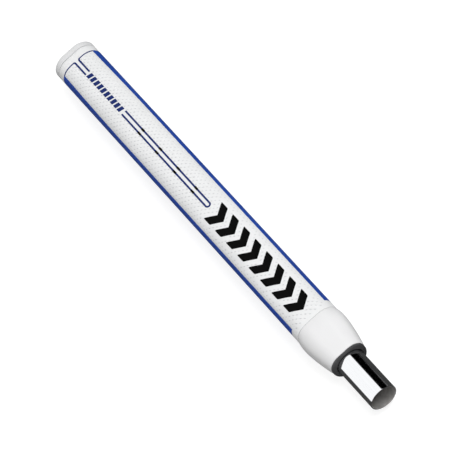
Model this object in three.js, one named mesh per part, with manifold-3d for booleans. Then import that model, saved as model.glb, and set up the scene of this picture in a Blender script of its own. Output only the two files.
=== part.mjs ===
// A wide putter grip with a flat front, on the end of its shaft. Units are millimetres.
//
// Every piece is drawn in the grip's own frame: X is the axis of the bore and starts at the butt
// end, Z points out of the flat front, and Y is the width. The group at the end of this file lays
// the part on its back and puts the origin under its middle.

import * as THREE from 'three';
import { mergeVertices } from 'three/addons/utils/BufferGeometryUtils.js';
import Module from 'manifold-3d';

const wasm = await Module();
wasm.setup();

// The grip
const gripLength = 259.5; // from the butt end to the mouth
const sectionWidth = 25.5;
const sectionDepth = 23.7; // from the flat front to the round back
const frontCorner = 9; // the radius between the front and each side
const skinThickness = 1.2;
const layerGap = 0.1; // between two bonded layers

// The shaft and what holds it
const shaftDiameter = 15.24;
const shaftWall = 0.6;
const shaftStub = 28; // the length of shaft beyond the mouth
const tapeThickness = 0.15;
const tapeGap = 0.05; // between the shaft and its tape
const slideClearance = 0.1; // between the tape and the bore
const sleeveWall = 0.9;
const tapeMargin = 6; // the bare shaft at each end of the tape, inside the grip

// The butt cap
const capFlange = 4;
const capEdge = 1.3; // the radius round the butt end
const capWeb = 3.2; // the wall that closes the bore
const capNeck = 3.6; // the step that the skin and the sleeve fit round
const grooveWidth = 0.5;
const ventDiameter = 2.5;

// The collar and the lip at the mouth
const collarLength = 26.5; // from its seam to the mouth, with the lip
const collarBulge = 0.65; // how far it swells past the skin on each side
const bulgePlace = 5.5; // from the seam to the widest place
const taperPower = 1.5; // 1 is a straight taper, and more is a rounder one
const seamGap = 0.25;
const lipThickness = 1.1;
const lipEdge = 0.5;
const lipWall = 1.65; // in front of the bore and behind it

// The rails along the two sides
const railInset = 2.1; // from the side of the grip to a rail's front edge, seen from the front
const railBackAngle = 35; // degrees that a rail reaches round the back
const railFromGroove = 4.7;
const railToSeam = 5.3;
const railGap = 0.15;

// Facets: an arc has twice this many
const roundFacets = 24;
const cornerFacets = 8;
const edgeSteps = 3;
const collarSteps = 12;

// Sizes that follow from those above
const boreToBack = sectionDepth / 2;
const backRadius = sectionWidth / 2;
const backCentre = backRadius - boreToBack;
const cornerRadius = Math.min(frontCorner, sectionDepth - backRadius);
const cornerAcross = backRadius - cornerRadius;
const cornerUp = boreToBack - cornerRadius;
const shaftRadius = shaftDiameter / 2;
const tapeInside = shaftRadius + tapeGap;
const tapeOutside = tapeInside + tapeThickness;
const boreRadius = tapeOutside + slideClearance;
const sleeveRadius = boreRadius + sleeveWall;
const seatRadius = sleeveRadius + layerGap;
const lipScale = (boreRadius + lipWall) / boreToBack;
const bulgeScale = 1 + collarBulge / backRadius;
const skinStart = capFlange + grooveWidth;
const seamAt = gripLength - collarLength;
const shaftStart = capWeb + 2 * layerGap;
const railStart = skinStart + railFromGroove;
const railEnd = seamAt - railToSeam;
const railFrontAngle = Math.acos((backRadius - railInset - cornerAcross) / cornerRadius);
const partLength = gripLength + shaftStub;

// Outlines are drawn in the grip's cross-section, with the bore's axis as their centre.

function circle(radius) {
  const outline = new THREE.Shape();
  outline.absarc(0, 0, radius, 0, 2 * Math.PI, false);
  return outline;
}

// The flat front, two round corners and the round back, all moved inwards by the inset.
function gripOutline(inset) {
  const outline = new THREE.Shape();
  outline.absarc(0, backCentre, backRadius - inset, Math.PI, 2 * Math.PI, false);
  outline.absarc(cornerAcross, cornerUp, cornerRadius - inset, 0, Math.PI / 2, false);
  outline.absarc(-cornerAcross, cornerUp, cornerRadius - inset, Math.PI / 2, Math.PI, false);
  outline.closePath();
  return outline;
}

// The stretch of the skin that a rail takes, from the front corner round the side to the back.
// The side is 1 on the left, towards +Y, and -1 on the right.
function railOutline(side, outset, inset, edgeGap) {
  const frontAngle = railFrontAngle + edgeGap / cornerRadius;
  const backAngle = -THREE.MathUtils.degToRad(railBackAngle) - edgeGap / backRadius;
  const outline = new THREE.Shape();
  const arc = (across, up, radius, from, to) => {
    const [start, end] = side > 0 ? [from, to] : [Math.PI - from, Math.PI - to];
    outline.absarc(side * across, up, radius, start, end, start > end);
  };
  arc(cornerAcross, cornerUp, cornerRadius + outset, frontAngle, 0);
  arc(0, backCentre, backRadius + outset, 0, backAngle);
  arc(0, backCentre, backRadius - inset, backAngle, 0);
  arc(cornerAcross, cornerUp, cornerRadius - inset, 0, frontAngle);
  outline.closePath();
  return outline;
}

// Carries an outline along the grip through the stations. Each station is its distance from the
// butt end and the size of the outline there, as a share of the outline that is given.
function loft(outline, stations, facets = cornerFacets) {
  const steps = stations.length - 1;
  const geometry = new THREE.ExtrudeGeometry(outline, {
    depth: steps, steps, bevelEnabled: false, curveSegments: facets,
  });
  const position = geometry.attributes.position;
  for (let i = 0; i < position.count; i += 1) {
    const { at, scale } = stations[Math.round(position.getZ(i))];
    position.setXYZ(i, at, position.getX(i) * scale, position.getY(i) * scale);
  }
  return geometry;
}

function straight(outline, from, to, facets) {
  return loft(outline, [{ at: from, scale: 1 }, { at: to, scale: 1 }], facets);
}

function rod(radius, from, to) {
  return straight(circle(radius), from, to, roundFacets);
}

// The stations of an edge rounded off by the radius, from an end face into the solid.
function roundedEnd(face, inwards, radius, scale) {
  const stations = [];
  for (let step = 0; step <= edgeSteps; step += 1) {
    const angle = (step / edgeSteps) * (Math.PI / 2);
    const inset = radius * (1 - Math.sin(angle));
    stations.push({
      at: face + inwards * radius * (1 - Math.cos(angle)),
      scale: scale * (1 - inset / (scale * backRadius)),
    });
  }
  return stations;
}

// Solids are joined and cut as closed meshes.

function toSolid(geometry) {
  geometry.deleteAttribute('normal');
  geometry.deleteAttribute('uv');
  const merged = mergeVertices(geometry);
  return new wasm.Manifold(new wasm.Mesh({
    numProp: 3,
    vertProperties: new Float32Array(merged.attributes.position.array),
    triVerts: new Uint32Array(merged.index.array),
  }));
}

function toGeometry(solid) {
  const mesh = solid.getMesh();
  const geometry = new THREE.BufferGeometry();
  geometry.setAttribute('position', new THREE.BufferAttribute(mesh.vertProperties, 3));
  geometry.setIndex(new THREE.BufferAttribute(mesh.triVerts, 1));
  geometry.computeVertexNormals();
  return geometry;
}

function joined(...geometries) {
  return geometries.map(toSolid).reduce((whole, next) => whole.add(next));
}

function cut(solid, ...geometries) {
  return geometries.map(toSolid).reduce((rest, next) => rest.subtract(next), solid);
}

// Each piece

function shaftTube() {
  const end = gripLength + shaftStub;
  const tube = toSolid(rod(shaftRadius, shaftStart, end));
  return toGeometry(cut(tube, rod(shaftRadius - shaftWall, shaftStart - 1, end + 1)));
}

function gripTape() {
  const from = shaftStart + tapeMargin;
  const to = gripLength - tapeMargin;
  return toGeometry(cut(toSolid(rod(tapeOutside, from, to)), rod(tapeInside, from - 1, to + 1)));
}

// The rubber lining of the bore, whose end turns out into the lip that shows at the mouth.
function innerSleeve() {
  const tube = rod(sleeveRadius, shaftStart, gripLength - lipThickness / 2);
  const lip = loft(gripOutline(0), [
    { at: gripLength - lipThickness, scale: lipScale },
    ...roundedEnd(gripLength, -1, lipEdge, lipScale).reverse(),
  ]);
  return toGeometry(cut(joined(tube, lip), rod(boreRadius, shaftStart - 1, gripLength + 1)));
}

function foamCore() {
  const from = capFlange + capNeck + layerGap;
  const core = toSolid(straight(gripOutline(skinThickness + layerGap), from, seamAt));
  return toGeometry(cut(core, rod(seatRadius, from - 1, seamAt + 1)));
}

// The outer skin, with a window on each side for a rail.
function coverSkin() {
  const skin = toSolid(straight(gripOutline(0), skinStart, seamAt));
  const inside = straight(gripOutline(skinThickness), skinStart - 1, seamAt + 1);
  const windows = [1, -1].map((side) => straight(
    railOutline(side, 1, skinThickness + 1, railGap),
    railStart - railGap,
    railEnd + railGap,
  ));
  return toGeometry(cut(skin, inside, ...windows));
}

function rail(side) {
  return straight(railOutline(side, 0, skinThickness, 0), railStart, railEnd);
}

// The flange closes the butt end, and the neck goes inside the skin and round the sleeve.
function buttCap() {
  const neckEnd = capFlange + capNeck;
  const flange = loft(gripOutline(0), [
    ...roundedEnd(0, 1, capEdge, 1),
    { at: capFlange, scale: 1 },
  ]);
  const neck = straight(gripOutline(skinThickness + layerGap), capFlange / 2, neckEnd);
  return toGeometry(cut(
    joined(flange, neck),
    rod(seatRadius, capWeb, neckEnd + 1),
    rod(ventDiameter / 2, -1, capWeb + 1),
  ));
}

// The smooth end of the grip, which swells past the skin and then tapers to the lip.
function mouthCollar() {
  const from = seamAt + seamGap;
  const to = gripLength - lipThickness - layerGap;
  const widest = seamAt + bulgePlace;
  const stations = [];
  for (let step = 0; step <= collarSteps; step += 1) {
    const at = from + (to - from) * (step / collarSteps);
    const swell = Math.sin((Math.PI / 2) * Math.min((at - from) / (widest - from), 1));
    const taper = Math.max((at - widest) / (to - widest), 0) ** taperPower;
    stations.push({ at, scale: 1 + (bulgeScale - 1) * swell - (bulgeScale - lipScale) * taper });
  }
  const collar = toSolid(loft(gripOutline(0), stations));
  return toGeometry(cut(collar, rod(seatRadius, from - 1, to + 1)));
}

// The pieces, each with its look

const pieces = [
  ['butt_cap', buttCap(), 0xe4e5e6, 0.55, 0],
  ['cover_skin', coverSkin(), 0xeaebec, 0.6, 0],
  ['left_rail', rail(1), 0x173f93, 0.5, 0],
  ['right_rail', rail(-1), 0x173f93, 0.5, 0],
  ['mouth_collar', mouthCollar(), 0xedeeef, 0.5, 0],
  ['inner_sleeve', innerSleeve(), 0x444547, 0.7, 0],
  ['foam_core', foamCore(), 0x2b2c2e, 0.9, 0],
  ['shaft_tube', shaftTube(), 0xc9ccd0, 0.12, 1],
  ['grip_tape', gripTape(), 0xd8cfae, 0.85, 0],
];

const grip = new THREE.Group();
for (const [name, geometry, color, roughness, metalness] of pieces) {
  const material = new THREE.MeshStandardMaterial({ color, roughness, metalness });
  const mesh = new THREE.Mesh(geometry, material);
  mesh.name = name;
  grip.add(mesh);
}
grip.position.set(-partLength / 2, 0, boreToBack * bulgeScale);

const part = new THREE.Group();
part.add(grip);

export default part;
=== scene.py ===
# %% [markdown]
# # A putter grip on the end of its shaft
#
# The real grip is a sandwich: a rubber lining with the bore in it, a light foam core round that, a
# thin embossed skin round the foam, a cap on the butt end and a smooth collar at the mouth. The
# CAD model holds the sizes and the joint. This lesson makes the visible surfaces: it embosses the
# skin as a flat sheet and wraps it, turns the shaft like a lathe would, and mixes each finish from
# nodes. Every size is read from the CAD model or named here, in metres.

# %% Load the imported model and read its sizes
import math
from bisect import bisect_right

import bmesh
import bpy
from mathutils import Matrix, Vector


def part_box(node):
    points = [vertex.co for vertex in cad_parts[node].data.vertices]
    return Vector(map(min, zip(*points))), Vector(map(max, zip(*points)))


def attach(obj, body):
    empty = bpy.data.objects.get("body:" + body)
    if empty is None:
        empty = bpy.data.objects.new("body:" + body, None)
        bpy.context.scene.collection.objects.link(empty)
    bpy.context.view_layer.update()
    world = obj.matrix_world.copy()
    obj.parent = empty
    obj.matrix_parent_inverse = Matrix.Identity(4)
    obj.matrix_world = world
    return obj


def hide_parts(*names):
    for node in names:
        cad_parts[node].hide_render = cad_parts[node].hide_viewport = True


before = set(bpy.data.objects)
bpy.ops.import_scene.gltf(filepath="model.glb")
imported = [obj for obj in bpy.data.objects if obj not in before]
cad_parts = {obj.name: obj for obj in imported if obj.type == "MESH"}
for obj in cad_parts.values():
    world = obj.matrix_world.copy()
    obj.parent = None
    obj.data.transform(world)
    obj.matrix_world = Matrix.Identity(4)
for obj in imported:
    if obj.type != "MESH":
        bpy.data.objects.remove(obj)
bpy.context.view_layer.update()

MM = 0.001
cap_low, cap_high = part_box("butt_cap")
skin_low, skin_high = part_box("cover_skin")
rail_low, rail_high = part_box("left_rail")
collar_low, collar_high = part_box("mouth_collar")
sleeve_low, sleeve_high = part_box("inner_sleeve")
shaft_low, shaft_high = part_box("shaft_tube")
tape_low, tape_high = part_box("grip_tape")

butt = cap_low.x
mouth = sleeve_high.x
middle = (butt + mouth) / 2
bore_height = (shaft_low.z + shaft_high.z) / 2
print("grip length in mm:", round((mouth - butt) / MM, 2))

# %% [markdown]
# ## The cross-section
#
# Seen from its end the grip is a D lying on its back: a flat front, two round corners, two short
# straight sides and a half-round back. Two helpers hold that shape. One gives the point at a
# distance round the outline from the middle of the front, so that a flat sheet can be wrapped on
# it. The other gives the same outline made larger or smaller about the bore, for the cap and the
# collar.

# %% Where a point of the outline lies
half_width = skin_high.y
front_rise = skin_high.z - bore_height
back_drop = bore_height - skin_low.z
corner_radius = 9 * MM  # the driving size of the CAD model's front corners
corner_across = half_width - corner_radius
corner_up = front_rise - corner_radius
back_centre = half_width - back_drop

front_arc = corner_across
corner_arc = corner_radius * math.pi / 2
side_arc = corner_up - back_centre
back_arc = half_width * math.pi / 2
half_round = front_arc + corner_arc + side_arc + back_arc


def outline_point(arc, out=0.0):
    """The point at a distance round the outline from the front's middle, and this far outside it."""
    side = 1 if arc >= 0 else -1
    rest = abs(arc)
    if rest <= front_arc:
        return side * rest, front_rise + out
    rest -= front_arc
    if rest <= corner_arc:
        turn = rest / corner_radius
        reach = corner_radius + out
        return side * (corner_across + reach * math.sin(turn)), corner_up + reach * math.cos(turn)
    rest -= corner_arc
    if rest <= side_arc:
        return side * (half_width + out), corner_up - rest
    turn = (rest - side_arc) / half_width
    reach = half_width + out
    return side * reach * math.cos(turn), back_centre - reach * math.sin(turn)


print("round the outline in mm:", round(2 * half_round / MM, 1))


# %% [markdown]
# ## From a bmesh to a piece
#
# Every new piece ends the same way: its faces are turned outwards, shaded smooth with its real
# edges kept sharp, and set to ride on the grip or on the shaft. Its finish is put on later.

# %% Finish a piece
SHARP = math.radians(38)


def finish_piece(bm, name, body, stands_for=()):
    bmesh.ops.recalc_face_normals(bm, faces=bm.faces)
    mesh = bpy.data.meshes.new(name)
    bm.to_mesh(mesh)
    bm.free()
    mesh.shade_smooth()
    mesh.set_sharp_from_angle(angle=SHARP)
    piece = bpy.data.objects.new(name, mesh)
    bpy.context.scene.collection.objects.link(piece)
    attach(piece, body)
    if stands_for:
        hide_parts(*stands_for)
    print(f"{name}: {len(mesh.polygons)} faces")


# %% [markdown]
# ## The skin, made flat
#
# The real skin is embossed flat and then wrapped round the foam, with its seam down the middle of
# the back. The same order is the easy one here: a grid is laid out flat, with x along the grip and
# y round it, the windows for the rails are cut, it gets its thickness, the small slanting dimples
# are pressed into every second cell like a chessboard, and only then is it bent into a D.

# %% Lay out the lines of the sheet
DIMPLE_PITCH = 2.9 * MM
ROW_PITCH = 1.65 * MM
SKIN_THICKNESS = 1.15 * MM
HAIRLINE = 0.08 * MM
RAIL_BACK = math.radians(35)
PLAIN_CELL = 1.2 * MM
SEAM_CELL = 1.0 * MM
PLAIN_BAND = 2.0 * MM

rail_front_butt = 10.9 * MM
rail_front_mouth = 12.0 * MM
drift_length = 60 * MM
rail_back = front_arc + corner_arc + side_arc + half_width * RAIL_BACK
texture_end = skin_high.x - PLAIN_BAND


def spaced(start, end, step):
    count = max(1, round((end - start) / step))
    return [start + (end - start) * i / count for i in range(count + 1)]


def rail_front(x):
    """The distance round the outline to the front edge of a rail, which drifts outwards."""
    share = min(max((x - rail_low.x) / drift_length, 0), 1)
    return rail_front_butt + (rail_front_mouth - rail_front_butt) * math.sin(share * math.pi / 2)


along_lines = (
    spaced(skin_low.x, rail_low.x, PLAIN_CELL)[:-1]
    + spaced(rail_low.x, rail_high.x, DIMPLE_PITCH / 2)[:-1]
    + spaced(rail_high.x, texture_end, DIMPLE_PITCH / 2)[:-1]
    + spaced(texture_end, skin_high.x, SEAM_CELL)
)
front_lines = spaced(0, rail_front_butt, ROW_PITCH)
side_lines = spaced(rail_front_butt, rail_back, ROW_PITCH)
back_lines = spaced(rail_back, half_round - HAIRLINE / 2, ROW_PITCH)
half_lines = front_lines[:-1] + side_lines[:-1] + back_lines
across_lines = [-line for line in reversed(half_lines[1:])] + half_lines
print("cells in the sheet:", len(along_lines) - 1, "by", len(across_lines) - 1)


# %% Make a sheet, and find a face's place in it
def lay_sheet(along, across):
    bm = bmesh.new()
    columns, rows = len(along) - 1, len(across) - 1
    bmesh.ops.create_grid(bm, x_segments=columns, y_segments=rows, size=1)
    for vert in bm.verts:
        column = round((vert.co.x + 1) / 2 * columns)
        row = round((vert.co.y + 1) / 2 * rows)
        vert.co = (along[column], across[row], 0)
    return bm


def thicken(bm, thickness):
    """Gives a flat sheet a lower side, and walls round its edges."""
    lower = bmesh.ops.extrude_face_region(bm, geom=list(bm.faces), use_keep_orig=True)["geom"]
    moved = [item for item in lower if isinstance(item, bmesh.types.BMVert)]
    bmesh.ops.translate(bm, verts=moved, vec=(0, 0, -thickness))
    bmesh.ops.recalc_face_normals(bm, faces=bm.faces)


def soften_rim(bm, radius):
    """Rounds the edges where the upper side of a sheet turns down into its walls."""
    rim = []
    for edge in bm.edges:
        if max(abs(vert.co.z) for vert in edge.verts) < radius / 100 and len(edge.link_faces) == 2:
            if min(abs(face.normal.z) for face in edge.link_faces) < 0.5:
                rim.append(edge)
    bmesh.ops.bevel(
        bm, geom=rim, offset=radius, offset_type="OFFSET", segments=2,
        profile=0.5, affect="EDGES", material=-1, clamp_overlap=True,
    )


# %% Press the dimples
DIMPLE_RIM = 0.14 * MM
DIMPLE_DEPTH = 0.26 * MM
DIMPLE_SLIM = 0.4
DIMPLE_STEP = 0.12 * MM
DIMPLE_STAGES = (0.7, 0.3)


def press_dimples(bm, along, across, allowed):
    """Sinks a slanting dimple in every second cell of the upper side that is allowed one."""
    cells = []
    for face in bm.faces:
        centre = face.calc_center_median()
        column = bisect_right(along, centre.x)
        row = bisect_right(across, centre.y)
        if face.normal.z > 0.5 and (column + row) % 2 == 0 and allowed(centre.x, centre.y):
            cells.append(face)
    bmesh.ops.inset_individual(bm, faces=cells, thickness=DIMPLE_RIM, use_even_offset=True)
    for face in cells:
        centre = face.calc_center_median()
        for vert in face.verts:
            offset = vert.co - centre
            slim = DIMPLE_SLIM if offset.x * offset.y < 0 else 1.0
            vert.co = centre + offset * slim
    for share in DIMPLE_STAGES:
        bmesh.ops.inset_individual(
            bm, faces=cells, thickness=DIMPLE_STEP, depth=-DIMPLE_DEPTH * share, use_even_offset=True,
        )
    return len(cells)


def wrap(bm):
    """Bends a flat sheet round the D, and keeps how deep each point was pressed as an attribute."""
    # The white and blue finishes read this depth to paint shade into the dimples.
    pit = bm.verts.layers.float.new("pit")
    for vert in bm.verts:
        vert[pit] = min(max(-vert.co.z / DIMPLE_DEPTH, 0), 1)
        across, up = outline_point(vert.co.y, vert.co.z)
        vert.co = (vert.co.x, across, bore_height + up)


# %% [markdown]
# ## Where the prints go
#
# The front carries printed lines and marks. The skin is smooth under them, because ink doesn't
# take on a deep pattern, so their places are settled before the dimples are pressed: a long slot
# of two fine navy lines, a row of small navy blocks near the butt, and a row of bold black
# chevrons towards the mouth.

# %% Settle the places of the prints
LINE_WIDTH = 1.0 * MM
SLOT_HALF = 1.33 * MM

cross_line = rail_low.x + LINE_WIDTH / 2
short_lines_end = butt + 21.3 * MM
blocks_start = butt + 22.6 * MM
blocks_end = butt + 56.6 * MM
slot_start = butt + 57.6 * MM
slot_end = butt + 140.2 * MM
tick_places = [butt + (75.0 + 17.1 * i) * MM for i in range(4)]

CHEVRONS = 8
CHEVRON_HALF = 6.3 * MM
CHEVRON_STROKE = 5.7 * MM
CHEVRON_SLOPE = math.tan(math.radians(36))
chevrons_start = butt + 143.4 * MM
chevrons_end = butt + 225.8 * MM
chevron_pitch = (
    chevrons_end - chevrons_start - CHEVRON_STROKE - CHEVRON_HALF * CHEVRON_SLOPE
) / (CHEVRONS - 1)
print("chevron pitch in mm:", round(chevron_pitch / MM, 2))


def under_print(x, arc):
    """True where a dimple would lie under ink, or within the smooth border round it."""
    border = 1.0 * MM
    if abs(arc) < SLOT_HALF + border and x < slot_end + border:
        return True
    if abs(arc) > CHEVRON_HALF + border:
        return False
    back = x + CHEVRON_SLOPE * abs(arc) - chevrons_start - CHEVRON_HALF * CHEVRON_SLOPE
    if not -border < back < (CHEVRONS - 1) * chevron_pitch + CHEVRON_STROKE + border:
        return False
    place = (back + border) % chevron_pitch
    return place < CHEVRON_STROKE + 2 * border


# %% Make the skin
WINDOW_END = 0.5 * MM
WINDOW_SIDE = 1.0 * MM
SKIN_SOFTNESS = 0.16 * MM


def in_window(x, arc):
    return rail_low.x < x < rail_high.x and rail_front_butt < abs(arc) < rail_back


def takes_dimple(x, arc):
    if not rail_low.x + PLAIN_CELL < x < texture_end:
        return False
    beside_window = rail_front_butt - WINDOW_SIDE < abs(arc) < rail_back + WINDOW_SIDE
    if x > rail_high.x - WINDOW_END and beside_window:
        return False
    return half_round - abs(arc) > ROW_PITCH and not under_print(x, arc)


def drift(bm):
    """Moves the front edges of the windows outwards along the grip, and the cells with them."""
    for vert in bm.verts:
        arc = abs(vert.co.y)
        edge = rail_front(vert.co.x)
        if arc <= rail_front_butt:
            moved = arc * edge / rail_front_butt
        elif arc < rail_back:
            moved = rail_back - (rail_back - arc) * (rail_back - edge) / (rail_back - rail_front_butt)
        else:
            moved = arc
        vert.co.y = math.copysign(moved, vert.co.y)


skin = lay_sheet(along_lines, across_lines)
window = [face for face in skin.faces if in_window(*face.calc_center_median().xy)]
bmesh.ops.delete(skin, geom=window, context="FACES")
thicken(skin, SKIN_THICKNESS)
print("dimples in the skin:", press_dimples(skin, along_lines, across_lines, takes_dimple))
soften_rim(skin, SKIN_SOFTNESS)
drift(skin)
wrap(skin)
finish_piece(skin, "embossed_skin", "grip", ["cover_skin"])

# %% [markdown]
# ## The rails
#
# Each blue rail fills its window in the skin, flush with it, with the same embossing running on
# across the joint. It is the same sheet with other edges, a hairline smaller all round so that the
# joint shows as a fine line.

# %% Make the two rails
RAIL_PLAIN_SIDE = 0.6 * MM
RAIL_PLAIN_END = 1.0 * MM
RAIL_SOFTNESS = 0.2 * MM
SAME_LINE = MM / 100


def takes_rail_dimple(x, arc):
    inside = rail_front_butt + RAIL_PLAIN_SIDE < abs(arc) < rail_back - RAIL_PLAIN_SIDE
    return inside and rail_low.x + RAIL_PLAIN_END < x < rail_high.x - RAIL_PLAIN_END


def lines_between(lines, low, high):
    """The sheet's lines from one edge of a window to the other, a hairline inside it."""
    kept = [line for line in lines if low - SAME_LINE < line < high + SAME_LINE]
    return [min(max(line, low + HAIRLINE), high - HAIRLINE) for line in kept]


rail_along = lines_between(along_lines, rail_low.x, rail_high.x)
rail_across = lines_between(half_lines, rail_front_butt, rail_back)

for side, name, node in ((1, "left_inlay", "left_rail"), (-1, "right_inlay", "right_rail")):
    across = rail_across if side > 0 else [-arc for arc in reversed(rail_across)]
    rail = lay_sheet(rail_along, across)
    thicken(rail, SKIN_THICKNESS)
    press_dimples(rail, rail_along, across, takes_rail_dimple)
    soften_rim(rail, RAIL_SOFTNESS)
    drift(rail)
    wrap(rail)
    finish_piece(rail, name, "grip", [node])

# %% [markdown]
# ## The prints
#
# Each print is a thin layer of ink that stands a little proud of the skin. The marks start as
# small grids that are sheared into shape. The fine lines are drawn the way a pen would draw them:
# a short edge across the line is pushed forwards for a straight stretch and spun round a centre
# for a corner. All of it happens on the flat sheet, and wrapping bends the ink with the skin.

# %% Ink helpers
INK = 0.07 * MM
INK_LIFT = 0.03 * MM


def ink_over(bm):
    """Gives flat shapes the thickness of ink, just above the sheet."""
    bmesh.ops.translate(bm, verts=bm.verts, vec=(0, 0, INK_LIFT + INK))
    thicken(bm, INK)


def add_block(bm, start, end, low, high, columns=1, rows=1, corner=0.0):
    """A flat rectangle with rounded corners, as new faces in the same bmesh."""
    made = bmesh.ops.create_grid(bm, x_segments=columns, y_segments=rows, size=1)["verts"]
    for vert in made:
        vert.co.x = start + (end - start) * (vert.co.x + 1) / 2
        vert.co.y = low + (high - low) * (vert.co.y + 1) / 2
    if corner:
        tips = [vert for vert in made if len(vert.link_edges) == 2]
        bmesh.ops.bevel(bm, geom=tips, offset=corner, offset_type="OFFSET", segments=3,
                        profile=0.5, affect="VERTICES", material=-1)
    return made


# %% The black chevrons
CHEVRON_CORNER = 0.5 * MM

black_ink = bmesh.new()
for i in range(CHEVRONS):
    start = chevrons_start + CHEVRON_HALF * CHEVRON_SLOPE + i * chevron_pitch
    add_block(black_ink, start, start + CHEVRON_STROKE, -CHEVRON_HALF, CHEVRON_HALF,
              columns=4, rows=16, corner=CHEVRON_CORNER)
for vert in black_ink.verts:
    vert.co.x -= CHEVRON_SLOPE * abs(vert.co.y)
ink_over(black_ink)
wrap(black_ink)
finish_piece(black_ink, "black_chevrons", "grip")

# %% The black ticks on the navy lines
TICK_HALF = 1.35 * MM
TICK_RISE = 0.62 * MM
TICK_CORNER = 0.15 * MM
TICK_LIFT = 0.02 * MM  # the black ink lies over the navy line

tick_ink = bmesh.new()
for place in tick_places:
    for side in (-1, 1):
        centre = side * SLOT_HALF
        add_block(tick_ink, place - TICK_HALF, place + TICK_HALF, centre - TICK_RISE,
                  centre + TICK_RISE, columns=2, rows=1, corner=TICK_CORNER)
ink_over(tick_ink)
bmesh.ops.translate(tick_ink, verts=tick_ink.verts, vec=(0, 0, TICK_LIFT))
wrap(tick_ink)
finish_piece(tick_ink, "black_ticks", "grip")


# %% The navy lines, drawn with a pen
class Pen:
    """A short edge that leaves faces behind it as it moves over the flat sheet."""

    def __init__(self, bm, x, y, heading, width):
        self.bm = bm
        self.heading = heading
        side = Vector((-math.sin(heading), math.cos(heading), 0)) * width / 2
        ends = [bm.verts.new(Vector((x, y, 0)) + side), bm.verts.new(Vector((x, y, 0)) - side)]
        self.edge = bm.edges.new(ends)

    def narrow(self, share):
        bmesh.ops.scale(self.bm, verts=list(self.edge.verts), vec=(share, share, 1),
                        space=Matrix.Translation(-self.tip))

    @property
    def tip(self):
        return (self.edge.verts[0].co + self.edge.verts[1].co) / 2

    def forward(self, length, step=3 * MM):
        count = max(1, math.ceil(length / step))
        move = Vector((math.cos(self.heading), math.sin(self.heading), 0)) * length / count
        for _ in range(count):
            made = bmesh.ops.extrude_edge_only(self.bm, edges=[self.edge])["geom"]
            self.edge = next(item for item in made if isinstance(item, bmesh.types.BMEdge)
                             and all(vert in made for vert in item.verts))
            bmesh.ops.translate(self.bm, verts=list(self.edge.verts), vec=move)

    def turn(self, angle, radius, steps=8):
        """A round corner to the left, or to the right where the angle is negative."""
        side = math.copysign(1, angle)
        left = Vector((-math.sin(self.heading), math.cos(self.heading), 0))
        centre = self.tip + left * radius * side
        made = bmesh.ops.spin(self.bm, geom=[self.edge], cent=centre, axis=(0, 0, 1), dvec=(0, 0, 0),
                              angle=angle, steps=steps, use_merge=False)["geom_last"]
        self.edge = next(item for item in made if isinstance(item, bmesh.types.BMEdge))
        self.heading += angle


QUARTER = math.pi / 2
CORNER = 1.0 * MM
CROSS_SHARE = 0.68  # the line across the grip is finer than the lines along it

navy_ink = bmesh.new()
for side in (1, -1):
    slot = Pen(navy_ink, slot_end, 0, side * QUARTER, LINE_WIDTH)
    slot.turn(side * QUARTER, SLOT_HALF)
    slot.forward(slot.tip.x - slot_start)

    cross = Pen(navy_ink, short_lines_end, side * SLOT_HALF, math.pi, LINE_WIDTH)
    cross.forward(cross.tip.x - cross_line - CORNER)
    cross.turn(-side * QUARTER, CORNER)
    cross.narrow(CROSS_SHARE)
    cross.forward(rail_front(cross_line) - abs(cross.tip.y), step=1 * MM)
bmesh.ops.remove_doubles(navy_ink, verts=navy_ink.verts, dist=MM / 1000)
ink_over(navy_ink)
wrap(navy_ink)
finish_piece(navy_ink, "navy_lines", "grip")

# %% The small navy blocks
BLOCKS = 10
BLOCK_HALF = 1.75 * MM
BLOCK_SLANT = 0.25
BLOCK_GAP = 0.95 * MM

block_ink = bmesh.new()
block_pitch = (blocks_end - blocks_start) / BLOCKS
for i in range(BLOCKS):
    start = blocks_start + i * block_pitch
    width = block_pitch - BLOCK_GAP
    for vert in add_block(block_ink, start, start + width, -BLOCK_HALF, BLOCK_HALF, rows=2):
        vert.co.x += BLOCK_SLANT * vert.co.y
ink_over(block_ink)
wrap(block_ink)
finish_piece(block_ink, "navy_blocks", "grip")

# %% [markdown]
# ## The cap, the collar and the lining
#
# These three are moulded rubber with the same D outline outside and a round hole inside. Each is
# lofted from one ring of points: the ring is extruded from station to station, and at each one its
# points go onto the D at some size or onto a circle. The walk ends where it began, so the solid
# closes on itself, holes and all.

# %% Loft a ring
RING = 144


def d_ring(x, scale=1.0, inset=0.0):
    """A station on the D outline, moved inwards and then sized about the bore's axis."""
    def place(arc):
        across, up = outline_point(arc, -inset)
        return Vector((x, across * scale, bore_height + up * scale))
    return place


def round_ring(x, radius):
    """A station on a circle, with its points on the same rays from the axis as the D's."""
    def place(arc):
        across, up = outline_point(arc)
        reach = radius / math.hypot(across, up)
        return Vector((x, across * reach, bore_height + up * reach))
    return place


def loft_ring(stations):
    bm = bmesh.new()
    bmesh.ops.create_circle(bm, segments=RING, radius=1, cap_ends=False)
    number = bm.verts.layers.int.new("number")
    for i, vert in enumerate(bm.verts):
        vert[number] = i
    verts, edges = list(bm.verts), list(bm.edges)
    for index, place in enumerate(stations):
        if index:
            made = bmesh.ops.extrude_edge_only(bm, edges=edges)["geom"]
            verts = [item for item in made if isinstance(item, bmesh.types.BMVert)]
            new = set(verts)
            edges = [item for item in made if isinstance(item, bmesh.types.BMEdge)
                     and all(vert in new for vert in item.verts)]
        for vert in verts:
            vert.co = place(2 * half_round * (vert[number] / RING - 0.5))
    bmesh.ops.remove_doubles(bm, verts=bm.verts, dist=MM / 1000)
    return bm


def rounded(face, inwards, radius, scale=1.0, steps=6):
    """Stations over an edge of this radius, from an end face back into the solid."""
    stations = []
    for step in range(steps + 1):
        angle = step / steps * math.pi / 2
        inset = radius * (1 - math.sin(angle))
        stations.append(d_ring(face + inwards * radius * (1 - math.cos(angle)),
                               scale * (1 - inset / (scale * half_width))))
    return stations


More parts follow.
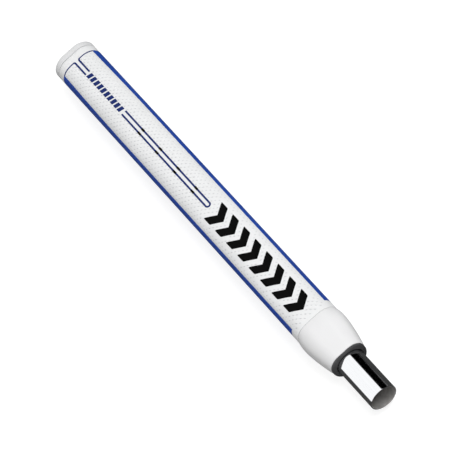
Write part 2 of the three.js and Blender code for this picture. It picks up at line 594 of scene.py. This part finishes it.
# %% The sizes round the bore
BOND_GAP = 0.1 * MM
LINING_WALL = 0.9 * MM

shaft_radius = shaft_high.z - bore_height
tape_outside = tape_high.z - bore_height
bore_radius = tape_outside + BOND_GAP
lining_radius = bore_radius + LINING_WALL
seat_radius = lining_radius + BOND_GAP
sizes_out = (shaft_radius, tape_outside, bore_radius, lining_radius, seat_radius)
print("radii from the shaft outwards in mm:", [round(radius / MM, 2) for radius in sizes_out])

# %% The butt cap
GROOVE_EDGE = 0.35 * MM
GROOVE_DEPTH = 0.75 * MM
SHUT_LINE = 0.03 * MM
MOULD_DEPTH = 0.2 * MM
neck_inset = 1.3 * MM
groove_end = skin_low.x - SHUT_LINE
cap_edge = 1.3 * MM
flange_end = skin_low.x - 0.5 * MM
web = butt + 3.2 * MM
vent_radius = 1.25 * MM
vent_mouth = 1.45 * MM
mould_ring = 4.4 * MM
mould_top = 0.3 * MM
mould_floor = 0.1 * MM

cap = loft_ring(
    [round_ring(web, vent_radius), round_ring(butt + MOULD_DEPTH, vent_radius),
     round_ring(butt, vent_mouth), round_ring(butt, mould_ring - mould_top),
     round_ring(butt + MOULD_DEPTH, mould_ring - mould_floor),
     round_ring(butt + MOULD_DEPTH, mould_ring + mould_floor),
     round_ring(butt, mould_ring + mould_top)]
    + rounded(butt, 1, cap_edge)
    + list(reversed(rounded(flange_end, -1, GROOVE_EDGE, steps=3)))
    + [d_ring(flange_end, inset=GROOVE_DEPTH), d_ring(groove_end, inset=GROOVE_DEPTH),
       d_ring(groove_end, inset=neck_inset), d_ring(cap_high.x, inset=neck_inset),
       round_ring(cap_high.x, seat_radius), round_ring(web, seat_radius),
       round_ring(web, vent_radius)]
)
finish_piece(cap, "moulded_cap", "grip", ["butt_cap"])

# %% The collar
COLLAR_STATIONS = 28
BULGE_PLACE = 5.5 * MM
TAPER_POWER = 1.5
SEAM_DEPTH = 0.35 * MM
collar_edge = 0.2 * MM
seam_start = skin_high.x + SHUT_LINE
bulge_scale = collar_high.y / half_width
lip_scale = sleeve_high.y / half_width
widest = collar_low.x - 0.25 * MM + BULGE_PLACE


def collar_scale(x):
    """Swells from the skin's size to the widest place, then tapers with a round shoulder."""
    share = min(max((x - collar_low.x) / (widest - collar_low.x), 0), 1)
    swell = math.sin(share * math.pi / 2)
    taper = max((x - widest) / (collar_high.x - widest), 0) ** TAPER_POWER
    return 1 + (bulge_scale - 1) * swell - (bulge_scale - lip_scale) * taper


collar_stations = rounded(collar_low.x, 1, collar_edge, steps=3)
for step in range(1, COLLAR_STATIONS + 1):
    x = collar_low.x + collar_edge
    x += (collar_high.x - collar_edge - x) * step / COLLAR_STATIONS
    collar_stations.append(d_ring(x, collar_scale(x)))
collar_stations += list(reversed(rounded(collar_high.x, -1, collar_edge, lip_scale, steps=3)))[1:]
collar = loft_ring(
    [round_ring(seam_start, seat_radius), d_ring(seam_start, inset=SEAM_DEPTH),
     d_ring(collar_low.x, inset=SEAM_DEPTH)]
    + collar_stations
    + [round_ring(collar_high.x, seat_radius), round_ring(seam_start, seat_radius)]
)
finish_piece(collar, "smooth_collar", "grip", ["mouth_collar"])

# %% The lining and its lip
lip_back = collar_high.x + BOND_GAP
lip_back_edge = 0.2 * MM
lip_edge = 0.55 * MM
bore_chamfer = 0.25 * MM
lining = loft_ring(
    [round_ring(sleeve_low.x, bore_radius), round_ring(sleeve_low.x, lining_radius),
     round_ring(lip_back, lining_radius)]
    + rounded(lip_back, 1, lip_back_edge, lip_scale, steps=2)
    + list(reversed(rounded(mouth, -1, lip_edge, lip_scale, steps=5)))
    + [round_ring(mouth, bore_radius + bore_chamfer), round_ring(mouth - bore_chamfer, bore_radius),
       round_ring(sleeve_low.x, bore_radius)]
)
finish_piece(lining, "rubber_lining", "grip", ["inner_sleeve"])

# %% [markdown]
# ## The shaft and its tape
#
# A tube is a lathe job: the outline of its wall, with small chamfers where the saw left burrs to
# be filed off, is spun once round the bore's axis. The tape is a thinner tube of the same kind,
# and its lap, where one edge of the strip lies over the other, is a short spin just outside it.

# %% Spin a wall round the shaft's axis
def spin_wall(bm, points, angle=2 * math.pi, steps=128):
    """Spins a closed outline of (x, radius) points about the bore's axis, and closes its ends."""
    verts = [bm.verts.new((x, 0, bore_height - radius)) for x, radius in points]
    edges = [bm.edges.new((verts[i], verts[(i + 1) % len(verts)])) for i in range(len(verts))]
    whole = abs(angle - 2 * math.pi) < 1e-6
    bmesh.ops.spin(bm, geom=verts + edges, cent=(0, 0, bore_height), axis=(1, 0, 0),
                   dvec=(0, 0, 0), angle=angle, steps=steps, use_merge=whole)
    open_edges = [edge for edge in bm.edges if edge.is_boundary]
    bmesh.ops.holes_fill(bm, edges=open_edges, sides=0)


def wall_outline(start, end, inside, outside, chamfer):
    return [(start, inside + chamfer), (start, outside - chamfer), (start + chamfer, outside),
            (end - chamfer, outside), (end, outside - chamfer), (end, inside + chamfer),
            (end - chamfer, inside), (start + chamfer, inside)]


# %% The steel tube
shaft_wall = 0.6 * MM
tube_chamfer = 0.12 * MM

tube = bmesh.new()
spin_wall(tube, wall_outline(shaft_low.x, shaft_high.x, shaft_radius - shaft_wall, shaft_radius,
                             tube_chamfer))
finish_piece(tube, "steel_tube", "shaft", ["shaft_tube"])

# %% The tape and its lap
LAP = math.radians(32)
LAP_RISE = 0.04 * MM
LAP_SINK = 0.01 * MM
TAPE_THICKNESS = 0.15 * MM
tape_inside = tape_outside - TAPE_THICKNESS
tape_edge = 0.03 * MM
lap_edge = 0.01 * MM
lap_start = tape_low.x + 1 * MM
lap_end = tape_high.x - 1 * MM

tape = bmesh.new()
spin_wall(tape, wall_outline(tape_low.x, tape_high.x, tape_inside, tape_outside, tape_edge))
spin_wall(tape, wall_outline(lap_start, lap_end, tape_outside - LAP_SINK, tape_outside + LAP_RISE,
                             lap_edge), angle=LAP, steps=10)
finish_piece(tape, "paper_tape", "shaft", ["grip_tape"])

# %% [markdown]
# ## The finishes
#
# Four small node groups do the repeated work. One is the fine grain that a mould leaves on rubber
# and plastic, one is the slow change of tone from handling, one is the rub of fine hairlines on a
# polished or inked surface, and one is the crinkle of paper tape. Each gives out a height, a mask
# or a tone, and each material decides what to do with it.

# %% Helpers for nodes
def group_socket(group, name, kind, direction, value=None):
    made = group.interface.new_socket(name=name, in_out=direction, socket_type=kind)
    if value is not None:
        made.default_value = value


def new_group(name, inputs, outputs):
    group = bpy.data.node_groups.new(name, "ShaderNodeTree")
    group_socket(group, "Vector", "NodeSocketVector", "INPUT")
    for label, value in inputs.items():
        group_socket(group, label, "NodeSocketFloat", "INPUT", value)
    for label in outputs:
        group_socket(group, label, "NodeSocketFloat", "OUTPUT")
    return group, group.nodes.new("NodeGroupInput"), group.nodes.new("NodeGroupOutput")


def node(tree, kind, **settings):
    """A new node, with its properties and its unlinked inputs set by name."""
    made = tree.nodes.new(kind)
    for name, value in settings.items():
        if hasattr(made, name):
            setattr(made, name, value)
        else:
            made.inputs[name.replace("_", " ").title()].default_value = value
    return made


def maths(tree, operation, first, second):
    """A math node whose two inputs are either numbers or sockets."""
    made = tree.nodes.new("ShaderNodeMath")
    made.operation = operation
    for index, value in enumerate((first, second)):
        if isinstance(value, (int, float)):
            made.inputs[index].default_value = value
        else:
            tree.links.new(value, made.inputs[index])
    return made.outputs[0]


# %% The grain that a mould leaves
grain, grain_in, grain_out = new_group(
    "moulded_grain", {"Scale": 2500.0, "Pores": 0.4}, ["Height", "Mask"])
fine = node(grain, "ShaderNodeTexNoise", detail=3.0, roughness=0.6)
cells = node(grain, "ShaderNodeTexVoronoi", feature="SMOOTH_F1")
for texture in (fine, cells):
    grain.links.new(grain_in.outputs["Vector"], texture.inputs["Vector"])
    grain.links.new(grain_in.outputs["Scale"], texture.inputs["Scale"])
pores = maths(grain, "MULTIPLY", cells.outputs["Distance"], grain_in.outputs["Pores"])
grain.links.new(maths(grain, "ADD", fine.outputs[0], pores), grain_out.inputs["Height"])
grain.links.new(fine.outputs[0], grain_out.inputs["Mask"])
print("nodes in the grain:", len(grain.nodes))

# %% The slow change of tone
tone, tone_in, tone_out = new_group("handled_tone", {"Scale": 60.0, "Contrast": 1.0}, ["Tone"])
cloud = node(tone, "ShaderNodeTexNoise", detail=2.0, roughness=0.5)
tone.links.new(tone_in.outputs["Vector"], cloud.inputs["Vector"])
tone.links.new(tone_in.outputs["Scale"], cloud.inputs["Scale"])
centred = maths(tone, "SUBTRACT", cloud.outputs[0], 0.5)
spread = maths(tone, "MULTIPLY", centred, tone_in.outputs["Contrast"])
tone.links.new(maths(tone, "ADD", spread, 0.5), tone_out.inputs["Tone"])
print("nodes in the tone:", len(tone.nodes))

# %% Fine hairlines along the grip
hair, hair_in, hair_out = new_group("hairlines", {"Scale": 900.0}, ["Height"])
stretch = node(hair, "ShaderNodeMapping")
stretch.inputs["Scale"].default_value = (0.02, 1.0, 1.0)
lines = node(hair, "ShaderNodeTexNoise", detail=4.0, roughness=0.7)
hair.links.new(hair_in.outputs["Vector"], stretch.inputs["Vector"])
hair.links.new(stretch.outputs[0], lines.inputs["Vector"])
hair.links.new(hair_in.outputs["Scale"], lines.inputs["Scale"])
hair.links.new(lines.outputs[0], hair_out.inputs["Height"])
print("nodes in the hairlines:", len(hair.nodes))

# %% The crinkle of paper tape
crepe, crepe_in, crepe_out = new_group("paper_crinkle", {"Scale": 700.0}, ["Height", "Mask"])
fold = node(crepe, "ShaderNodeMapping")
fold.inputs["Scale"].default_value = (1.0, 0.25, 0.25)
crinkle = node(crepe, "ShaderNodeTexNoise", detail=3.0, roughness=0.55)
crepe.links.new(crepe_in.outputs["Vector"], fold.inputs["Vector"])
crepe.links.new(fold.outputs[0], crinkle.inputs["Vector"])
crepe.links.new(crepe_in.outputs["Scale"], crinkle.inputs["Scale"])
crepe.links.new(crinkle.outputs[0], crepe_out.inputs["Height"])
crepe.links.new(crinkle.outputs[0], crepe_out.inputs["Mask"])
print("nodes in the crinkle:", len(crepe.nodes))


# %% Helpers for materials
def new_material(name, **shader):
    """A material and its shader, whose steady values are set on the shader's own sockets."""
    material = bpy.data.materials.new(name)
    material.use_nodes = True
    tree = material.node_tree
    principled = tree.nodes["Principled BSDF"]
    for label, value in shader.items():
        principled.inputs[label.replace("_", " ")].default_value = value
    place = tree.nodes.new("ShaderNodeTexCoord").outputs["Object"]
    return material, tree, principled, place


def use_group(tree, group, vector, **values):
    made = tree.nodes.new("ShaderNodeGroup")
    made.node_tree = group
    tree.links.new(vector, made.inputs["Vector"])
    for label, value in values.items():
        made.inputs[label].default_value = value
    return made.outputs


def blend_colours(tree, share, first, second):
    """A colour between two, which are either colours or sockets."""
    mix = tree.nodes.new("ShaderNodeMix")
    mix.data_type = "RGBA"
    tree.links.new(share, mix.inputs["Factor"])
    for value, socket in ((first, mix.inputs[6]), (second, mix.inputs[7])):
        if isinstance(value, tuple):
            socket.default_value = (*value, 1)
        else:
            tree.links.new(value, socket)
    return mix.outputs[2]


def spread_value(tree, share, low, high):
    """Stretches a mask from 0 to 1 over the range between two values."""
    made = tree.nodes.new("ShaderNodeMapRange")
    made.inputs["To Min"].default_value = low
    made.inputs["To Max"].default_value = high
    tree.links.new(share, made.inputs["Value"])
    return made.outputs[0]


def raise_bumps(tree, principled, height, distance, strength=1.0):
    bump = tree.nodes.new("ShaderNodeBump")
    bump.inputs["Distance"].default_value = distance
    bump.inputs["Strength"].default_value = strength
    tree.links.new(height, bump.inputs["Height"])
    tree.links.new(bump.outputs[0], principled.inputs["Normal"])


HANDLING = 1.6
PIT_PAINTED_SHADE_SHARE = 0.6
GLOSS_DRIFT = 0.06


def rubbery(name, light, dark, roughness, grain_size=0.35 * MM, relief=0.02 * MM, painted_pit_shade=None,
            **shader):
    """Moulded rubber or plastic: two close tones, a fine grain, a slow change of gloss and, where
    given, painted shade in the dimples.
    """
    material, tree, principled, place = new_material(name, **shader)
    marks = use_group(tree, grain, place, Scale=1 / grain_size)
    handled = use_group(tree, tone, place, Contrast=HANDLING)
    colour = blend_colours(tree, handled["Tone"], light, dark)
    # Painted shade: the colour moves towards a darker one by how deep the point was pressed, so the
    # bottoms of the dimples come out darker.
    if painted_pit_shade:
        pit = node(tree, "ShaderNodeAttribute", attribute_name="pit")
        shade = maths(tree, "MULTIPLY", pit.outputs["Fac"], PIT_PAINTED_SHADE_SHARE)
        colour = blend_colours(tree, shade, colour, painted_pit_shade)
    tree.links.new(colour, principled.inputs["Base Color"])
    gloss = spread_value(tree, handled["Tone"], roughness - GLOSS_DRIFT, roughness + GLOSS_DRIFT)
    tree.links.new(gloss, principled.inputs["Roughness"])
    raise_bumps(tree, principled, marks["Height"], relief)
    print(f"{name}: {len(tree.nodes)} nodes")
    return material


# %% The white skin, the blue rails and the moulded ends
# The third colour of the skin, and the dark blue given to the rails, is painted shade for the bottoms
# of the dimples.
SKIN_LIGHT, SKIN_DARK, SKIN_PIT_PAINTED_SHADE = (0.815, 0.82, 0.825), (0.77, 0.775, 0.78), (0.45, 0.46, 0.475)
skin_white = rubbery("skin_white", SKIN_LIGHT, SKIN_DARK, 0.5, painted_pit_shade=SKIN_PIT_PAINTED_SHADE)
rail_blue = rubbery("rail_blue", (0.010, 0.064, 0.40), (0.008, 0.047, 0.30), 0.5,
                    painted_pit_shade=(0.003, 0.018, 0.13), Specular_IOR_Level=0.3)
cap_rubber = rubbery("cap_rubber", (0.71, 0.715, 0.72), (0.67, 0.675, 0.68), 0.5,
                     grain_size=0.5 * MM, relief=0.012 * MM)
collar_white = rubbery("collar_white", (0.79, 0.79, 0.795), (0.755, 0.755, 0.76), 0.45,
                       grain_size=0.6 * MM, relief=0.008 * MM)
sleeve_rubber = rubbery("sleeve_rubber", (0.058, 0.058, 0.060), (0.040, 0.040, 0.042), 0.62,
                        grain_size=0.4 * MM, relief=0.03 * MM)

# %% The foam inside, which only shows where a joint gapes
BUBBLE = 0.5 * MM

foam, foam_tree, foam_shader, foam_place = new_material("core_foam")
bubbles = use_group(foam_tree, grain, foam_place, Scale=1 / BUBBLE, Pores=1.5)
foam_tree.links.new(blend_colours(foam_tree, bubbles["Mask"], (0.05, 0.05, 0.052),
                                  (0.02, 0.02, 0.021)), foam_shader.inputs["Base Color"])
foam_tree.links.new(spread_value(foam_tree, bubbles["Mask"], 0.8, 1.0),
                    foam_shader.inputs["Roughness"])
raise_bumps(foam_tree, foam_shader, bubbles["Height"], 0.15 * MM)
print("core_foam:", len(foam_tree.nodes), "nodes")


# %% The two inks
INK_DRIFT = 0.08
INK_GRAIN = 0.4 * MM
INK_RELIEF = 0.01 * MM


def ink(name, light, dark, roughness, specular):
    """Printed ink: a close pair of tones, faint hairlines and a little of the grain beneath."""
    material, tree, principled, place = new_material(name, Specular_IOR_Level=specular)
    rubs = use_group(tree, hair, place)
    marks = use_group(tree, grain, place, Scale=1 / INK_GRAIN)
    tree.links.new(blend_colours(tree, marks["Mask"], light, dark), principled.inputs["Base Color"])
    gloss = spread_value(tree, rubs["Height"], roughness - INK_DRIFT, roughness + INK_DRIFT)
    tree.links.new(gloss, principled.inputs["Roughness"])
    raise_bumps(tree, principled, marks["Height"], INK_RELIEF)
    print(f"{name}: {len(tree.nodes)} nodes")
    return material


print_navy = ink("print_navy", (0.012, 0.028, 0.15), (0.008, 0.02, 0.11), 0.45, 0.12)
print_black = ink("print_black", (0.003, 0.003, 0.003), (0.0015, 0.0015, 0.0015), 0.5, 0.03)

# %% The polished steel
INSIDE_DULLNESS = 0.45
INSIDE_METAL_LOSS = 0.7

chrome, chrome_tree, chrome_shader, chrome_place = new_material("shaft_chrome")
rubs = use_group(chrome_tree, hair, chrome_place, Scale=1400.0)
from_axis = node(chrome_tree, "ShaderNodeMapping", vector_type="POINT")
from_axis.inputs["Location"].default_value = (0, 0, -bore_height)
from_axis.inputs["Scale"].default_value = (0, 1, 1)
chrome_tree.links.new(chrome_place, from_axis.inputs["Vector"])
reach = node(chrome_tree, "ShaderNodeVectorMath", operation="LENGTH")
chrome_tree.links.new(from_axis.outputs[0], reach.inputs[0])
within_the_wall = shaft_radius - shaft_wall * 0.75
inside = maths(chrome_tree, "LESS_THAN", reach.outputs["Value"], within_the_wall)
polished = blend_colours(chrome_tree, rubs["Height"], (0.84, 0.85, 0.86), (0.74, 0.75, 0.765))
rust = use_group(chrome_tree, tone, chrome_place, Scale=400.0, Contrast=2.0)
drawn = blend_colours(chrome_tree, rust["Tone"], (0.46, 0.45, 0.44), (0.30, 0.29, 0.28))
chrome_tree.links.new(blend_colours(chrome_tree, inside, polished, drawn),
                      chrome_shader.inputs["Base Color"])
shine = spread_value(chrome_tree, rubs["Height"], 0.04, 0.10)
dull = maths(chrome_tree, "MULTIPLY", inside, INSIDE_DULLNESS)
chrome_tree.links.new(maths(chrome_tree, "ADD", shine, dull), chrome_shader.inputs["Roughness"])
less_metal = maths(chrome_tree, "MULTIPLY", inside, INSIDE_METAL_LOSS)
chrome_tree.links.new(maths(chrome_tree, "SUBTRACT", 1.0, less_metal),
                      chrome_shader.inputs["Metallic"])
raise_bumps(chrome_tree, chrome_shader, rubs["Height"], 0.001 * MM)
print("shaft_chrome:", len(chrome_tree.nodes), "nodes")

# %% The paper tape
paper, paper_tree, paper_shader, paper_place = new_material("tape_paper")
creases = use_group(paper_tree, crepe, paper_place)
age = use_group(paper_tree, tone, paper_place, Scale=90.0, Contrast=1.8)
paper_tone = blend_colours(paper_tree, creases["Mask"], (0.74, 0.66, 0.46), (0.62, 0.54, 0.36))
paper_tree.links.new(blend_colours(paper_tree, age["Tone"], paper_tone, (0.68, 0.58, 0.38)),
                     paper_shader.inputs["Base Color"])
paper_tree.links.new(spread_value(paper_tree, creases["Mask"], 0.7, 0.95),
                     paper_shader.inputs["Roughness"])
raise_bumps(paper_tree, paper_shader, creases["Height"], 0.06 * MM)
print("tape_paper:", len(paper_tree.nodes), "nodes")

# %% Put each finish on its pieces
FINISHES = {
    "embossed_skin": skin_white, "left_inlay": rail_blue, "right_inlay": rail_blue,
    "black_chevrons": print_black, "black_ticks": print_black,
    "navy_lines": print_navy, "navy_blocks": print_navy,
    "moulded_cap": cap_rubber, "smooth_collar": collar_white, "rubber_lining": sleeve_rubber,
    "steel_tube": chrome, "paper_tape": paper,
}
for name, finish in FINISHES.items():
    bpy.data.objects[name].data.materials.append(finish)
# The foam is an object of the CAD model, so its finish goes on the slot that it already has.
bpy.data.objects["foam_core"].material_slots[0].material = foam
print("pieces with a finish:", len(FINISHES), "and the foam core")

# %% [markdown]
# ## The studio
#
# A pale floor that glows a little for the camera alone, a soft key light on one side, a weaker one
# above and an even glow all round. Chrome only looks like
# chrome when it has something dark to reflect, so reflections see a sky of their own: bright
# overhead and to one side, black on the other but for a bright card far round it, and dark below
# the horizon.

# %% The floor
FLOOR_HALF = 4
FLOOR_GLOW = 0.74

bm = bmesh.new()
bmesh.ops.create_grid(bm, x_segments=1, y_segments=1, size=FLOOR_HALF)
floor_mesh = bpy.data.meshes.new("floor")
bm.to_mesh(floor_mesh)
bm.free()
floor = bpy.data.objects.new("floor", floor_mesh)
bpy.context.scene.collection.objects.link(floor)
floor_material = bpy.data.materials.new("floor_white")
floor_material.use_nodes = True
floor_tree = floor_material.node_tree
floor_shader = floor_tree.nodes["Principled BSDF"]
floor_shader.inputs["Base Color"].default_value = (0.4, 0.4, 0.4, 1)
floor_shader.inputs["Roughness"].default_value = 0.9
floor_shader.inputs["Emission Color"].default_value = (1, 1, 1, 1)
floor_ray = floor_tree.nodes.new("ShaderNodeLightPath")
glow_for_camera = maths(floor_tree, "MULTIPLY", FLOOR_GLOW, floor_ray.outputs["Is Camera Ray"])
floor_tree.links.new(glow_for_camera, floor_shader.inputs["Emission Strength"])
floor_mesh.materials.append(floor_material)
floor.visible_glossy = False
print("floor in metres:", [round(size, 1) for size in floor.dimensions])

# %% The camera
TILT = math.radians(35.5)
ROLL = math.radians(47.6)
DISTANCE = 1.508
SIDEWAYS = math.radians(0.9)
AIM_AHEAD = 17.7 * MM
AIM_ASIDE = 0.33 * MM
LENS = 231.8

centre = Vector((middle, 0, bore_height))
overhead = Vector((0, -math.sin(SIDEWAYS), math.cos(SIDEWAYS)))
eye = centre + DISTANCE * (math.sin(TILT) * Vector((1, 0, 0)) + math.cos(TILT) * overhead)
aim = centre + Vector((AIM_AHEAD, -AIM_ASIDE, 0))
back = (eye - aim).normalized()
along = (Vector((1, 0, 0)) - back * back.x).normalized()
across = back.cross(along)
right = math.cos(ROLL) * along + math.sin(ROLL) * across
up = -math.sin(ROLL) * along + math.cos(ROLL) * across

camera_data = bpy.data.cameras.new("camera")
camera_data.lens = LENS
camera_data.sensor_width = 36
camera_data.clip_start = 0.05
camera = bpy.data.objects.new("camera", camera_data)
camera.matrix_world = Matrix.Translation(eye) @ Matrix((right, up, back)).transposed().to_4x4()
bpy.context.scene.collection.objects.link(camera)
bpy.context.scene.camera = camera
print("camera to the bore in metres:", round((eye - centre).length, 3))

# %% The lights
def soft_light(name, place, size, power):
    """A round lamp that lights the grip but shows neither to the camera nor in the chrome."""
    data = bpy.data.lights.new(name, "AREA")
    data.shape = "DISK"
    data.size = size
    data.energy = power
    light = bpy.data.objects.new(name, data)
    light.location = centre + Vector(place)
    light.rotation_euler = Vector(place).to_track_quat("Z", "Y").to_euler()
    light.visible_glossy = False
    light.visible_camera = False
    bpy.context.scene.collection.objects.link(light)
    print(f"{name} light: {power} W, {size} m across")


soft_light("key", (0.4, 0.7, 1.7), size=1.3, power=23)
soft_light("top", (0.9, -0.5, 1.6), size=1.6, power=4)

# %% The glow all round, and what reflections see
GLOW = 0.47
SKY_IN_REFLECTIONS = 1.5
GROUND_IN_REFLECTIONS = 0.07
KEY_SIDE = (0.40, 0.46)
CARD = (0.85, 0.91)
HORIZON = (-0.15, -0.09)

world = bpy.data.worlds.new("studio")
bpy.context.scene.world = world
world.use_nodes = True
sky = world.node_tree
glow = sky.nodes["Background"]
glow.inputs["Color"].default_value = (1, 1, 1, 1)
glow.inputs["Strength"].default_value = GLOW
seen = sky.nodes.new("ShaderNodeBackground")
direction = sky.nodes.new("ShaderNodeSeparateXYZ")
sky.links.new(sky.nodes.new("ShaderNodeTexCoord").outputs["Generated"], direction.inputs[0])


def edge_of(value, start, end):
    """1 before the start, 0 past the end and a soft edge between."""
    made = sky.nodes.new("ShaderNodeMapRange")
    made.interpolation_type = "SMOOTHSTEP"
    made.inputs["From Min"].default_value = start
    made.inputs["From Max"].default_value = end
    made.inputs["To Min"].default_value = 1.0
    made.inputs["To Max"].default_value = 0.0
    sky.links.new(value, made.inputs["Value"])
    return made.outputs[0]


not_key_side = edge_of(direction.outputs["Y"], *KEY_SIDE)
above = maths(sky, "SUBTRACT", 1.0, edge_of(direction.outputs["Z"], *HORIZON))
card = maths(sky, "SUBTRACT", 1.0, edge_of(direction.outputs["Y"], *CARD))
bright = maths(sky, "MULTIPLY", maths(sky, "MAXIMUM", not_key_side, card), above)
below = maths(sky, "MULTIPLY", maths(sky, "SUBTRACT", 1.0, above), GROUND_IN_REFLECTIONS)
overhead_light = maths(sky, "MULTIPLY", bright, SKY_IN_REFLECTIONS)
sky.links.new(maths(sky, "ADD", overhead_light, below), seen.inputs["Strength"])
ray = sky.nodes.new("ShaderNodeLightPath")
backdrop = sky.nodes.new("ShaderNodeBackground")
backdrop.inputs["Color"].default_value = (1, 1, 1, 1)


def choose(is_this_ray, otherwise, surface):
    """One surface for a kind of ray, and another for the rest."""
    made = sky.nodes.new("ShaderNodeMixShader")
    for socket, source in zip(made.inputs, (is_this_ray, otherwise, surface)):
        sky.links.new(source, socket)
    return made.outputs[0]


lit = choose(ray.outputs["Is Glossy Ray"], glow.outputs[0], seen.outputs[0])
lit = choose(ray.outputs["Is Camera Ray"], lit, backdrop.outputs[0])
sky.links.new(lit, sky.nodes["World Output"].inputs["Surface"])

bpy.context.scene.view_settings.view_transform = "Standard"
print("nodes in the sky:", len(sky.nodes))
